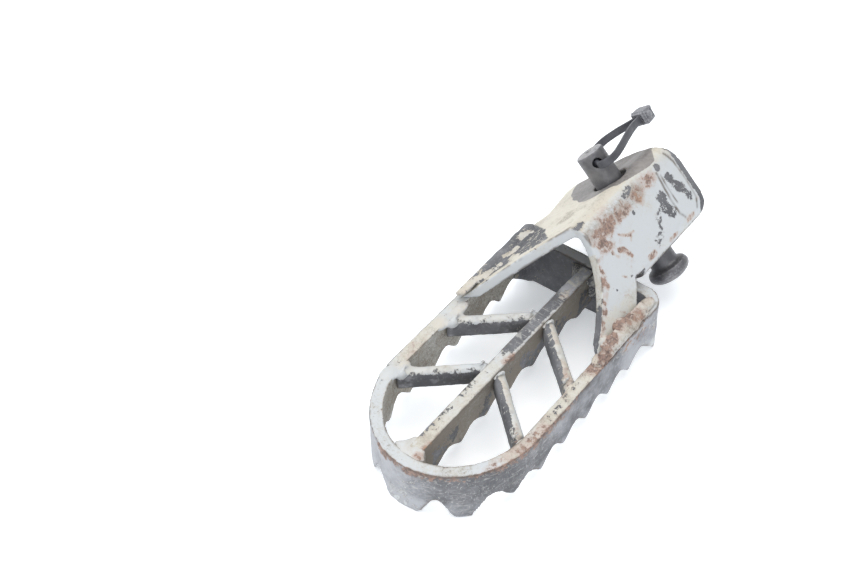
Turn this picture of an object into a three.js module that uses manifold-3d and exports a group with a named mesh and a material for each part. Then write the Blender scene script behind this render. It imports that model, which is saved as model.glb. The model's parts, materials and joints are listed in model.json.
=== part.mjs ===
// Motorcycle foot peg: a serrated oval tread with a centre rib and four diagonal braces, welded under a
// folded sheet bracket whose two ears carry a headed pivot pin. A cable tie through the pin keeps it in.
//
// Millimetres, +Z up. The peg lies upside down, teeth on the ground at z = 0, its rim facing up.
// +X runs from the tip of the tread to the pivot. The tread is symmetric about y = 0.

import * as THREE from 'three';
import { mergeVertices } from 'three/addons/utils/BufferGeometryUtils.js';
import Module from 'manifold-3d';

const wasm = await Module();
wasm.setup();

// ---- driving dimensions ------------------------------------------------------------------------

const GAP = 0.3; // kept between pieces that touch

const tread = {
  halfWidth: 25, // straight sides, outside
  noseLength: 29.1, // half ellipse from the straight sides to the tip
  rearX: 65.7, // outside of the rear end
  cornerRadius: 6.6,
  band: 4, // strip thickness
  rimZ: 18.2, // height of the plain edge of the strip
};

const teeth = {
  pitch: 11.2,
  firstX: -9.5, // first side tooth behind the nose
  count: 6,
  sideTipZ: 3.0, // side teeth end above the ground, nose teeth and rear end touch it
  valleyZ: 7.4,
  noseValleyAngle: 25.8, // the notches either side of the nose tooth, degrees from the long axis
  noseNotch: { x: -26.4, y: 9.7, halfWidth: 5.2, depth: 14 },
  // The uneven valley between the nose and the first side tooth, as [x, z].
  firstValley: [[-18.2, 4.4], [-16.6, 6.9], [-15, 7.5], [-13.2, 6.9], [-11.6, 4.8]],
  cutFromX: -20.6,
  cutToX: 60.9, // the rear end keeps its full height
};

const rib = { thickness: 4.2, pitch: 11.7, firstX: -16.3, tipZ: 4.3, valleyZ: 7.5 };

const brace = {
  width: 3.6,
  depth: 5.7,
  topZ: tread.rimZ - 0.1,
  ribX: [12.7, 37], // where each pair reaches the rib
  reach: 16.5, // how far forward of that it meets the tread
};

// The bracket's own frame: x as above, y down the slope of the upper ear, z out of that ear.
// Its origin is the sharp corner of the ridge, and it is turned 45 degrees about the long axis.
const bracket = {
  ridgeY: 0.5,
  ridgeZ: tread.rimZ + 23,
  tilt: -Math.PI / 4,
  sheet: 3.2,
  ridgeRadius: 5,
  earSpacing: 26.5, // outside of one ear to outside of the other
  lowerRadius: 5,
  reach: 37, // sheet drawn this far down each slope, before its outline is cut
  frontX: 24,
  rearX: 101.5,
  lowerEarX: 66.1,
};

const pin = {
  x: 81.6,
  y: 9.6, // from the outside of the web
  diameter: 8.8,
  bore: 10.2, // holes in the ears
  endZ: 10.7, // end of the pin above the upper ear
  headTopZ: -31.4,
  headThickness: 4.4,
  headDiameter: 13.4,
  crossHole: 4.0,
  crossHoleZ: 7.2,
};

const tie = {
  width: 2.4,
  thickness: 1.2,
  tilt: THREE.MathUtils.degToRad(5),
  headX: [104.4, 109.4],
  headY: [5.9, 11.1],
  headHeight: 4.8,
};

// ---- solids ------------------------------------------------------------------------------------

// A closed three.js geometry as a solid.
function solid(geometry) {
  const bare = geometry.clone();
  bare.deleteAttribute('normal');
  bare.deleteAttribute('uv');
  const merged = mergeVertices(bare, 1e-4);
  return new wasm.Manifold(new wasm.Mesh({
    numProp: 3,
    vertProperties: new Float32Array(merged.attributes.position.array),
    triVerts: new Uint32Array(merged.index.array),
  }));
}

function toGeometry(body) {
  const mesh = body.getMesh();
  const geometry = new THREE.BufferGeometry();
  geometry.setAttribute('position', new THREE.BufferAttribute(new Float32Array(mesh.vertProperties), 3));
  geometry.setIndex(new THREE.BufferAttribute(new Uint32Array(mesh.triVerts), 1));
  geometry.computeVertexNormals();
  return geometry;
}

function union(bodies) {
  return bodies.reduce((all, body) => all.add(body));
}

function outline(points) {
  return new THREE.Shape(points.map(([u, v]) => new THREE.Vector2(u, v)));
}

function extrude(shape, depth, curveSegments = 12) {
  return new THREE.ExtrudeGeometry(shape, { depth, curveSegments, bevelEnabled: false });
}

// Prisms of an outline, named after the axis they run along.
function prismZ(shape, z0, z1, curveSegments) {
  return solid(extrude(shape, z1 - z0, curveSegments).translate(0, 0, z0));
}

// The outline is in (x, z).
function prismY(shape, y0, y1, curveSegments) {
  return solid(extrude(shape, y1 - y0, curveSegments).rotateX(Math.PI / 2).translate(0, y1, 0));
}

// The outline is in (y, z).
function prismX(shape, x0, x1, curveSegments) {
  const turn = new THREE.Matrix4().makeBasis(
    new THREE.Vector3(0, 1, 0),
    new THREE.Vector3(0, 0, 1),
    new THREE.Vector3(1, 0, 0),
  );
  return solid(extrude(shape, x1 - x0, curveSegments).applyMatrix4(turn).translate(x0, 0, 0));
}

function block(x0, x1, y0, y1, z0, z1) {
  const box = new THREE.BoxGeometry(x1 - x0, y1 - y0, z1 - z0);
  return solid(box.translate((x0 + x1) / 2, (y0 + y1) / 2, (z0 + z1) / 2));
}

// A surface of revolution about z from a profile of [radius, z] that starts and ends on the axis.
function turned(profile, x, y, segments = 32) {
  const lathe = new THREE.LatheGeometry(profile.map(([r, z]) => new THREE.Vector2(r, z)), segments);
  return solid(lathe.rotateX(Math.PI / 2).translate(x, y, 0));
}

function ellipsoid(radii, centre, segments = 14) {
  const ball = new THREE.SphereGeometry(1, segments, Math.round(segments * 0.7));
  return solid(ball.scale(...radii).translate(...centre));
}

// ---- the tread ---------------------------------------------------------------------------------

// Outline of the tread, drawn inside its outer edge by the inset.
function treadOutline(inset, PathType = THREE.Shape) {
  const { halfWidth, noseLength, rearX, cornerRadius } = tread;
  const w = halfWidth - inset;
  const rear = rearX - inset;
  const r = cornerRadius - inset;
  const path = new PathType();
  path.moveTo(0, -w);
  path.lineTo(rear - r, -w);
  path.absarc(rear - r, -w + r, r, -Math.PI / 2, 0, false);
  path.lineTo(rear, w - r);
  path.absarc(rear - r, w - r, r, 0, Math.PI / 2, false);
  path.lineTo(0, w);
  path.absellipse(0, 0, noseLength - inset, w, Math.PI / 2, 1.5 * Math.PI, false, 0);
  return path;
}

// The strip, or with a margin the space it needs.
function ring(margin = 0) {
  const shape = treadOutline(-margin);
  shape.holes.push(treadOutline(tread.band + margin, THREE.Path));
  return prismZ(shape, -margin, tread.rimZ + margin, 16);
}

// Everything inside the strip, a gap away from it.
function insideRing() {
  return prismZ(treadOutline(tread.band + GAP), -1, tread.rimZ + 20, 16);
}

// The round-bottomed valley between two teeth, as [x, z] points from one tooth tip to the next.
function valley(fromX, toX, tipZ, valleyZ, steps = 10) {
  const points = [];
  for (let i = 0; i <= steps; i += 1) {
    const t = i / steps;
    const rise = ((1 - Math.cos(2 * Math.PI * t)) / 2) ** 0.75;
    points.push([fromX + (toX - fromX) * t, tipZ + (valleyZ - tipZ) * rise]);
  }
  return points;
}

// What the saw takes off the two long sides, in one outline.
function sideTeethCutter() {
  const { pitch, firstX, count, sideTipZ, valleyZ, cutFromX, cutToX } = teeth;
  const lastValleyX = firstX + (count - 0.5) * pitch;
  const points = [[cutFromX, -1], [cutFromX, 0], ...teeth.firstValley];
  for (let k = 0; k < count - 1; k += 1) {
    const x = firstX + k * pitch;
    points.push(...valley(x, x + pitch, sideTipZ, valleyZ).slice(0, -1));
  }
  const lastTipX = firstX + (count - 1) * pitch;
  points.push([lastTipX, sideTipZ], [lastValleyX - 3.4, 5.6], [lastValleyX - 1, valleyZ]);
  points.push([lastValleyX + 1, valleyZ], [cutToX, 0], [cutToX, -1]);
  return prismY(outline(points), -tread.halfWidth - 1, tread.halfWidth + 1);
}

// The two notches beside the nose tooth, cut square to the strip.
function noseNotchCutter(side) {
  const { x, y, halfWidth, depth } = teeth.noseNotch;
  const between = valley(-halfWidth, halfWidth, 0, teeth.valleyZ);
  const shape = outline([[-halfWidth, -1], ...between, [halfWidth, -1]]);
  const angle = THREE.MathUtils.degToRad(teeth.noseValleyAngle);
  const notch = extrude(shape, depth).rotateX(Math.PI / 2).translate(0, depth / 2, 0);
  notch.rotateZ(Math.PI / 2 - side * angle);
  return solid(notch.translate(x, side * y, 0));
}

function treadLoop() {
  return ring().subtract(sideTeethCutter()).subtract(noseNotchCutter(1)).subtract(noseNotchCutter(-1));
}

function ribOutline() {
  const { pitch, firstX, tipZ, valleyZ } = rib;
  const front = -tread.noseLength + tread.band + GAP + 0.2;
  const rear = tread.rearX - tread.band - GAP;
  const points = [[front, tread.rimZ], [front, tipZ], [firstX, tipZ]];
  for (let x = firstX; x + pitch < rear; x += pitch) {
    points.push(...valley(x, x + pitch, tipZ, valleyZ).slice(1));
  }
  points.push([rear, tipZ + 1], [rear, tread.rimZ]);
  return outline(points);
}

function centreRib() {
  return prismY(ribOutline(), -rib.thickness / 2, rib.thickness / 2);
}

function ribSpace(margin) {
  const half = rib.thickness / 2 + margin;
  return block(-40, 80, -half, half, -1, tread.rimZ + margin);
}

// A brace as a bar with a round top, or with a margin the space it needs. Side is +1 for +Y.
function braceBar(index, side, margin = 0) {
  const half = brace.width / 2 + margin;
  const bottom = brace.topZ - brace.depth - margin;
  const crown = brace.topZ + margin - half;
  const section = new THREE.Shape();
  section.moveTo(-half, bottom);
  section.lineTo(half, bottom);
  section.lineTo(half, crown);
  section.absarc(0, crown, half, 0, Math.PI, false);
  section.lineTo(-half, bottom);
  const inner = new THREE.Vector2(brace.ribX[index], side * rib.thickness / 2);
  const outer = new THREE.Vector2(brace.ribX[index] - brace.reach, side * (tread.halfWidth - tread.band));
  const run = outer.clone().sub(inner);
  const overrun = 6;
  const bar = extrude(section, run.length() + 2 * overrun, 6).translate(0, 0, -overrun);
  bar.rotateX(Math.PI / 2).rotateZ(run.angle() + Math.PI / 2);
  return solid(bar.translate(inner.x, inner.y, 0));
}

// Everything on one side of the long axis.
function ownSide(side) {
  return side > 0 ? block(-60, 80, 0, 40, -1, 60) : block(-60, 80, -40, 0, -1, 60);
}

function braceSolid(index, side) {
  return braceBar(index, side).intersect(insideRing()).intersect(ownSide(side)).subtract(ribSpace(GAP));
}

// ---- welds -------------------------------------------------------------------------------------

// A puddle over the end of a brace where it meets the tread.
function braceTreadWeld(index, side) {
  const x = brace.ribX[index] - brace.reach;
  const y = side * (tread.halfWidth - tread.band - 0.4);
  const puddle = ellipsoid([4.8, 3.4, 4.4], [x + 0.6, y, brace.topZ - 2.9]);
  return puddle.intersect(insideRing()).subtract(braceBar(index, side, GAP));
}

// A small puddle where a brace meets the rib.
function braceRibWeld(index, side) {
  const y = side * (rib.thickness / 2 + 0.8);
  const puddle = ellipsoid([3.4, 2.2, 3.0], [brace.ribX[index] - 0.6, y, brace.topZ - 1.9]);
  return puddle.intersect(ownSide(side)).subtract(ribSpace(GAP)).subtract(braceBar(index, side, GAP));
}

// The fillet in the corner between the rib and the inside of the nose.
function noseWeld(side) {
  const shape = new THREE.Shape();
  shape.moveTo(-32, 0);
  shape.lineTo(-32, side * 9);
  shape.lineTo(-24.4, side * 8);
  shape.quadraticCurveTo(-23.2, side * 3.2, -17.5, side * 2.4);
  shape.lineTo(-17.5, 0);
  return prismZ(shape, 9.5, tread.rimZ, 8).intersect(insideRing()).subtract(ribSpace(GAP));
}

// The fillet between the rib and the rear end of the tread.
function rearWeld(side) {
  const x = tread.rearX - tread.band;
  const shape = new THREE.Shape();
  shape.moveTo(x + 1, 0);
  shape.lineTo(x - 5, 0);
  shape.lineTo(x - 5, side * 2.3);
  shape.quadraticCurveTo(x - 1.4, side * 2.7, x, side * 6.5);
  shape.lineTo(x + 1, side * 6.5);
  return prismZ(shape, 8.5, tread.rimZ - 0.4, 8).intersect(insideRing()).subtract(ribSpace(GAP));
}

// The bead that joins the edge of a bracket arm to the rim, as a section in (y, z) run along x.
function armWeld(side, x0, x1) {
  const z = tread.rimZ;
  const section = outline([
    [side * 23.7, z + 0.35], [side * 24.8, z + 0.35], [side * 24.9, z + 0.9],
    [side * 23.9, z + 2.2], [side * 22.3, z + 3.3], [side * 20.8, z + 3.7],
    [side * 20.5, z + 3.6],
  ]);
  return prismX(section, x0, x1);
}

// ---- the bracket -------------------------------------------------------------------------------

// Both slopes and the bent ridge, as one bent strip in (y, z) of the bracket's frame.
function roofSection() {
  const { sheet: t, ridgeRadius: r, reach } = bracket;
  const shape = new THREE.Shape();
  shape.moveTo(reach, -t);
  shape.lineTo(reach, 0);
  shape.lineTo(r, 0);
  shape.absarc(r, -r, r, Math.PI / 2, Math.PI, false);
  shape.lineTo(0, -reach);
  shape.lineTo(t, -reach);
  shape.lineTo(t, -r);
  shape.absarc(r, -r, r - t, Math.PI, Math.PI / 2, true);
  shape.lineTo(reach, -t);
  return shape;
}

// The upper ear and its long arm, seen square on, as (x, y).
function upperOutline() {
  const shape = new THREE.Shape();
  shape.moveTo(57, -2);
  shape.bezierCurveTo(53, 8, 44, 20, 26.5, 33.4);
  shape.lineTo(26.5, 36);
  shape.lineTo(66.1, 36);
  shape.lineTo(66.1, 33.6);
  shape.lineTo(71.8, 29.6);
  shape.lineTo(84.6, 33);
  shape.quadraticCurveTo(88.8, 33.4, 89.8, 30.4);
  shape.quadraticCurveTo(91, 27, 93.4, 24.4);
  shape.quadraticCurveTo(98, 18, 97.8, 8);
  shape.lineTo(95.6, -2);
  return shape;
}

// The web and the right arm, seen square on, as (x, z).
function webOutline() {
  const shape = new THREE.Shape();
  shape.moveTo(54, 2);
  shape.quadraticCurveTo(58, -16, 33, -31);
  shape.lineTo(33, -36);
  shape.lineTo(49, -36);
  shape.lineTo(61.8, -23.6);
  shape.lineTo(bracket.lowerEarX, -24.4);
  shape.lineTo(bracket.lowerEarX, -bracket.earSpacing - 1);
  shape.lineTo(95.6, -bracket.earSpacing - 1);
  shape.quadraticCurveTo(bracket.rearX, -25.4, bracket.rearX, -19.5);
  shape.lineTo(bracket.rearX, -8);
  shape.quadraticCurveTo(100.9, -2.4, 95, 2);
  return shape;
}

// The web's lower edge bent over into the lower ear, in (y, z).
function lowerSection() {
  const { sheet: t, lowerRadius: r, earSpacing } = bracket;
  const shape = new THREE.Shape();
  shape.moveTo(0, -14);
  shape.lineTo(0, -earSpacing + r);
  shape.absarc(r, -earSpacing + r, r, Math.PI, 1.5 * Math.PI, false);
  shape.lineTo(30, -earSpacing);
  shape.lineTo(30, -earSpacing + t);
  shape.lineTo(r, -earSpacing + t);
  shape.absarc(r, -earSpacing + r, r - t, 1.5 * Math.PI, Math.PI, true);
  shape.lineTo(t, -14);
  shape.lineTo(0, -14);
  return shape;
}

function lowerEarOutline() {
  const x = bracket.lowerEarX;
  const shape = new THREE.Shape();
  shape.moveTo(x, bracket.lowerRadius - 0.5);
  shape.lineTo(x, 15);
  shape.quadraticCurveTo(x + 1, 23.5, x + 10, 23.8);
  shape.quadraticCurveTo(94, 24, 97.4, 12);
  shape.lineTo(97.4, bracket.lowerRadius - 0.5);
  return shape;
}

// In the bracket's own frame, before the tread's rim trims its arms.
function bracketBlank() {
  const { ridgeRadius, lowerRadius, frontX, rearX, lowerEarX, earSpacing } = bracket;
  const roof = prismX(roofSection(), frontX, rearX, 6);
  const upper = roof.intersect(prismZ(upperOutline(), -ridgeRadius, 1, 14));
  const webPrism = prismY(webOutline(), -1, lowerRadius, 14);
  const belowBend = block(lowerEarX, rearX + 1, -2, 10, -60, -earSpacing + lowerRadius);
  const web = roof.intersect(webPrism).subtract(belowBend);
  const lower = prismX(lowerSection(), lowerEarX, rearX, 6);
  const bend = lower.intersect(webPrism);
  const lowerEar = lower.intersect(prismZ(lowerEarOutline(), -earSpacing - 1, 0, 10));
  const bore = new THREE.CylinderGeometry(pin.bore / 2, pin.bore / 2, 60, 32);
  return union([upper, web, bend, lowerEar])
    .subtract(solid(bore.rotateX(Math.PI / 2).translate(pin.x, pin.y, -20)));
}

function toGround(body) {
  const geometry = toGeometry(body).rotateX(bracket.tilt).translate(0, bracket.ridgeY, bracket.ridgeZ);
  return solid(geometry);
}

function mountBracket() {
  const rimSpace = block(0, tread.rearX + GAP, -45, 45, -20, tread.rimZ + GAP);
  return toGround(bracketBlank()).subtract(rimSpace);
}

// ---- pin and tie -------------------------------------------------------------------------------

function crossAxis() {
  return new THREE.Vector3(0.6, 0.8, 0);
}

function pivotPin() {
  const shaft = pin.diameter / 2;
  const head = pin.headDiameter / 2;
  const bottom = pin.headTopZ - pin.headThickness;
  const body = turned([
    [0, bottom], [head * 0.62, bottom + 0.1], [head * 0.86, bottom + 0.7], [head, bottom + 1.9],
    [head, pin.headTopZ - 0.9], [head - 0.7, pin.headTopZ], [shaft + 0.5, pin.headTopZ],
    [shaft, pin.headTopZ + 0.6], [shaft, pin.endZ - 0.9], [shaft - 0.9, pin.endZ], [0, pin.endZ],
  ], pin.x, pin.y);
  const hole = new THREE.CylinderGeometry(pin.crossHole / 2, pin.crossHole / 2, 20, 20);
  hole.applyQuaternion(new THREE.Quaternion().setFromUnitVectors(new THREE.Vector3(0, 1, 0), crossAxis()));
  return body.subtract(solid(hole.translate(pin.x, pin.y, pin.crossHoleZ)));
}

// Centre line of the strap, round the loop from inside the pin: out of the near side of the cross
// hole, along to the head, and back to the far side.
const strapRoute = [
  [81.6, 9.6], [79.0, 6.1], [78.1, 4.7], [78.9, 3.7], [81.2, 3.5], [86, 4.1], [92, 5.0], [98, 6.4],
  [103, 7.5], [106.4, 8.5], [103.4, 10.1], [98, 13.3], [92, 15.2], [87.8, 15.4], [85.4, 14.6], [84.2, 13.1],
];

function strapOutline() {
  const route = strapRoute.map(([x, y]) => new THREE.Vector3(x, y, 0));
  const centre = new THREE.CatmullRomCurve3(route, true, 'centripetal');
  const steps = 72;
  const left = [];
  const right = [];
  for (let i = 0; i < steps; i += 1) {
    const point = centre.getPointAt(i / steps);
    const along = centre.getTangentAt(i / steps);
    const half = tie.thickness / 2;
    left.push([point.x - along.y * half, point.y + along.x * half]);
    right.push([point.x + along.y * half, point.y - along.x * half]);
  }
  const shape = outline(right);
  shape.holes.push(new THREE.Path(left.map(([x, y]) => new THREE.Vector2(x, y))));
  return shape;
}

function cableTie() {
  const half = tie.width / 2;
  const [x0, x1] = tie.headX;
  const [y0, y1] = tie.headY;
  const strap = prismZ(strapOutline(), -half, half);
  const chamfer = 1.2;
  const head = prismZ(outline([
    [x0, y0], [x1 - chamfer, y0], [x1, y0 + chamfer], [x1, y1 - chamfer], [x1 - chamfer, y1], [x0, y1],
  ]), -tie.headHeight / 2, tie.headHeight / 2);
  const tail = block(x1 - 1, x1 + 1.6, y1 - 3.4, y1 - 1.6, -half, half);
  const moved = toGeometry(union([strap, head, tail]));
  moved.translate(-pin.x, -pin.y, 0).rotateX(tie.tilt).translate(pin.x, pin.y, pin.crossHoleZ);
  return solid(moved);
}

// ---- assembly ----------------------------------------------------------------------------------

const paint = { color: 0xdfe1e4, roughness: 0.5, metalness: 0.1 };
const weldPaint = { color: 0xcfc8bc, roughness: 0.6, metalness: 0.1 };
const steel = { color: 0x4a4644, roughness: 0.45, metalness: 0.85 };
const nylon = { color: 0x3c3d42, roughness: 0.55, metalness: 0.0 };

const foot = new THREE.Group();

function place(name, body, finish) {
  const mesh = new THREE.Mesh(toGeometry(body), new THREE.MeshStandardMaterial(finish));
  mesh.name = name;
  foot.add(mesh);
}

place('tread_loop', treadLoop(), paint);
place('centre_rib', centreRib(), paint);

for (const [side, sideName] of [[1, 'left'], [-1, 'right']]) {
  for (const [index, where] of [[0, 'front'], [1, 'rear']]) {
    place(`brace_${where}_${sideName}`, braceSolid(index, side), paint);
    place(`weld_${where}_brace_tread_${sideName}`, braceTreadWeld(index, side), weldPaint);
    place(`weld_${where}_brace_rib_${sideName}`, braceRibWeld(index, side), weldPaint);
  }
  place(`weld_nose_${sideName}`, noseWeld(side), weldPaint);
  place(`weld_rear_${sideName}`, rearWeld(side), weldPaint);
}

place('mount_bracket', mountBracket(), paint);
place('weld_arm_left', armWeld(1, 28, 64), weldPaint);
place('weld_arm_right', armWeld(-1, 35, 56), weldPaint);
place('pivot_pin', toGround(pivotPin()), steel);
place('cable_tie', toGround(cableTie()), nylon);

// Stand the model on the origin: the middle of its footprint, with its lowest point at z = 0.
const peg = new THREE.Group();
peg.add(foot);
const extent = new THREE.Box3().setFromObject(peg);
foot.position.set(-(extent.min.x + extent.max.x) / 2, -(extent.min.y + extent.max.y) / 2, -extent.min.z);

export default peg;
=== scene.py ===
"""A worn motorcycle foot peg, lying teeth down: chipped white paint, rust, lumpy welds, a steel pivot pin
and a cable tie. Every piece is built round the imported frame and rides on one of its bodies."""

import json
import math
from itertools import product

import bmesh
import bpy
import numpy as np
from mathutils import Matrix, Vector


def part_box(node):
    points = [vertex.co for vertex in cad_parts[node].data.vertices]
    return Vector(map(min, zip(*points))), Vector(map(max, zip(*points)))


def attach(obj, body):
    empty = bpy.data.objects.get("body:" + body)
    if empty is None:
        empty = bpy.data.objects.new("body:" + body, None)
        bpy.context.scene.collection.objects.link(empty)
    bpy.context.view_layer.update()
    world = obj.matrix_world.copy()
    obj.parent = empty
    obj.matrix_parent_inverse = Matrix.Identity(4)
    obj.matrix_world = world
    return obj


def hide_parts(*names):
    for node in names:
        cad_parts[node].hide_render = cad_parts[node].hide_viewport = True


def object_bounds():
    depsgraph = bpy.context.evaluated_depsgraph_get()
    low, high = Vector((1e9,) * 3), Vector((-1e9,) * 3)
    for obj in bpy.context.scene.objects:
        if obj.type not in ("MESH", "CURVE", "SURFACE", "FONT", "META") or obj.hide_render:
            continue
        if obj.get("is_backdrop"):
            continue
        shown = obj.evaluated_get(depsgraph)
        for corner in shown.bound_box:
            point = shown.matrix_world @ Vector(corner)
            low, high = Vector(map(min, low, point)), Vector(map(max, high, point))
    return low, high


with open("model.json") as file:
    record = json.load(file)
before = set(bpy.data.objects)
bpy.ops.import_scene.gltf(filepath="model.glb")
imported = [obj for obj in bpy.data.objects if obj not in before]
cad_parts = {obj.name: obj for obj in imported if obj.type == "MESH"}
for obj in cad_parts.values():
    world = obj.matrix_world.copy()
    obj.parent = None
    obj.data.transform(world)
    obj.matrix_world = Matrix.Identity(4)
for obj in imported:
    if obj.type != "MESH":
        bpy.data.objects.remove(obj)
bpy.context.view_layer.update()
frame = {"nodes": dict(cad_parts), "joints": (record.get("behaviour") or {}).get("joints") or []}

MM = 0.001

# ---- frames: millimetres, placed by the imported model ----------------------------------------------

JOINTS = {j["name"]: j for j in frame["joints"]}
TREAD_LOW, TREAD_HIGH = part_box("tread_loop")
NOSE_LENGTH, HALF_WIDTH, REAR_X = 29.1, 25.0, 65.7
REAR_CORNER = 6.6  # radius

# x from the start of the rounded nose, y from the middle, z up from the rim.
TREAD = Matrix.Translation(
    (TREAD_LOW.x + NOSE_LENGTH * MM, (TREAD_LOW.y + TREAD_HIGH.y) / 2, TREAD_HIGH.z)
) @ Matrix.Scale(MM, 4)

# The folded bracket: x as above, y down the slope of the upper ear, z out of it along the pin.
PIN_X, PIN_Y = 81.6, 9.6


def bracket_frame():
    across = Vector(JOINTS["pin_turn"]["axis"]).normalized()
    along = Vector((1, 0, 0))
    down = across.cross(along)
    turn = Matrix((along, down, across)).transposed().to_4x4()
    at_pin = Matrix.Translation(JOINTS["pin_turn"]["pos_m"]) @ turn @ Matrix.Scale(MM, 4)
    return at_pin @ Matrix.Translation((-PIN_X, -PIN_Y, 0))


BRACKET = bracket_frame()
CROSS_HOLE_Z = (BRACKET.inverted() @ Vector(JOINTS["tie_swing"]["pos_m"])).z

# ---- arrays ---------------------------------------------------------------------------------------


def smoothstep(x, low, high):
    """0 below low and 1 above high, smooth between them."""
    t = np.clip((x - low) / (high - low), 0, 1)
    return t * t * (3 - 2 * t)


def cloud(points, size, seed=0):
    """Soft random values in 0..1 with features of that size."""
    q = points / size + 31.7 * (seed + 1)
    whole = np.floor(q).astype(np.int64)
    part = q - whole
    part = part * part * (3 - 2 * part)
    total = np.zeros(len(points))
    for corner in product((0, 1), repeat=3):
        i = whole + np.array(corner)
        h = i[:, 0] * 374761393 + i[:, 1] * 668265263 + i[:, 2] * 974634777 + seed * 1013904223
        h = (h ^ (h >> 13)) * 1274126177
        value = ((h ^ (h >> 16)) & 0xFFFF) / 65535
        weight = np.prod(np.where(np.array(corner) == 1, part, 1 - part), axis=1)
        total += weight * value
    return total


def clouds(points, size, seed=0, octaves=3):
    """Soft random values in 0..1 with finer ones added to them."""
    total, share, weight = 0, 0, 1.0
    for k in range(octaves):
        total = total + weight * cloud(points, size / 2**k, seed + 7 * k)
        share += weight
        weight *= 0.55
    return total / share


def near(points, line, radius, soft=0.5):
    """1 within the radius of a run of points, fading to 0 at radius * (1 + soft)."""
    line = np.array(line, float)
    points = points[:, : line.shape[1]]
    best = np.full(len(points), 1e9)
    if len(line) == 1:
        best = np.linalg.norm(points - line[0], axis=1)
    for a, b in zip(line[:-1], line[1:]):
        t = np.clip((points - a) @ (b - a) / ((b - a) @ (b - a)), 0, 1)
        best = np.minimum(best, np.linalg.norm(points - a - t[:, None] * (b - a), axis=1))
    return 1 - smoothstep(best, radius * (1 - soft), radius * (1 + soft))


def marks(points, spots):
    """The sum of some marks, each given as (weight, run of points, radius) and perhaps a softness."""
    return sum(weight * near(points, *spot) for weight, *spot in spots)


# ---- meshes ---------------------------------------------------------------------------------------


def mesh_from(made, name):
    out = bpy.data.meshes.new(name)
    made.to_mesh(out)
    made.free()
    return out


def in_scene(name, data):
    made = bpy.data.objects.new(name, data)
    bpy.context.scene.collection.objects.link(made)
    return made


def joined(meshes, matrix=None):
    """The meshes as one loose mesh, moved by the matrix."""
    made = bmesh.new()
    for mesh in meshes:
        made.from_mesh(mesh)
    out = mesh_from(made, "joined")
    if matrix is not None:
        out.transform(matrix)
    return out


def cad_mesh(nodes, place):
    """The CAD nodes' own shapes as one loose mesh, in millimetres of that frame."""
    return joined([frame["nodes"][n].data for n in nodes], place.inverted())


def through(mesh, *steps):
    """The mesh after some modifiers, each given as (type, settings)."""
    work = in_scene("work", mesh)
    for kind, settings in steps:
        modifier = work.modifiers.new(kind, kind)
        for key, value in settings.items():
            setattr(modifier, key, value)
    out = bpy.data.meshes.new_from_object(
        work.evaluated_get(bpy.context.evaluated_depsgraph_get())
    )
    bpy.data.objects.remove(work)
    return out


def worn_round(mesh, grid, rounds, grow=0.0):
    """The same closed shape as an even grid with its edges worn round."""
    steps = [("REMESH", {"mode": "VOXEL", "voxel_size": grid})]
    if grow:
        steps.append(("DISPLACE", {"strength": grow, "mid_level": 0.0}))
        steps.append(("REMESH", {"mode": "VOXEL", "voxel_size": grid}))
    steps.append(("SMOOTH", {"factor": 0.5, "iterations": rounds}))
    return through(mesh, *steps)


def without(mesh, tool):
    """The mesh with the tool's shape cut out of it."""
    cutter = in_scene("cutter", tool)
    cut = through(mesh, ("BOOLEAN", {"operation": "DIFFERENCE", "object": cutter, "solver": "EXACT"}))
    bpy.data.objects.remove(cutter)
    return cut


def turned(profile, segments=96):
    """A closed surface of revolution about z from (radius, z) points between two ends on the axis."""
    made = bmesh.new()
    ends = [made.verts.new((0, 0, z)) for z in (profile[0][1], profile[-1][1])]
    rings = []
    for radius, z in profile[1:-1]:
        turn = [2 * math.pi * k / segments for k in range(segments)]
        rings.append([made.verts.new((radius * math.cos(a), radius * math.sin(a), z)) for a in turn])
    for k in range(segments):
        j = (k + 1) % segments
        made.faces.new((ends[0], rings[0][j], rings[0][k]))
        made.faces.new((ends[1], rings[-1][k], rings[-1][j]))
        for low, high in zip(rings[:-1], rings[1:]):
            made.faces.new((low[k], low[j], high[j], high[k]))
    bmesh.ops.recalc_face_normals(made, faces=made.faces)
    return mesh_from(made, "turned")


def tapered_block(x0, x1, y0, y1, half, taper=1.0):
    """A block whose far end in x is scaled by the taper."""
    made = bmesh.new()
    bmesh.ops.create_cube(made, size=2)
    mid, reach = (y0 + y1) / 2, (y1 - y0) / 2
    for v in made.verts:
        scale = taper if v.co.x > 0 else 1.0
        v.co = Vector((x0 if v.co.x < 0 else x1, mid + v.co.y * reach * scale, v.co.z * half * scale))
    return mesh_from(made, "block")


def ball(centre, radii, detail=3):
    """An ellipsoid with its radii along x, y and z."""
    made = bmesh.new()
    bmesh.ops.create_icosphere(made, subdivisions=detail, radius=1)
    out = mesh_from(made, "ball")
    out.transform(Matrix.Translation(centre) @ Matrix.Diagonal((*radii, 1)))
    return out


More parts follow.
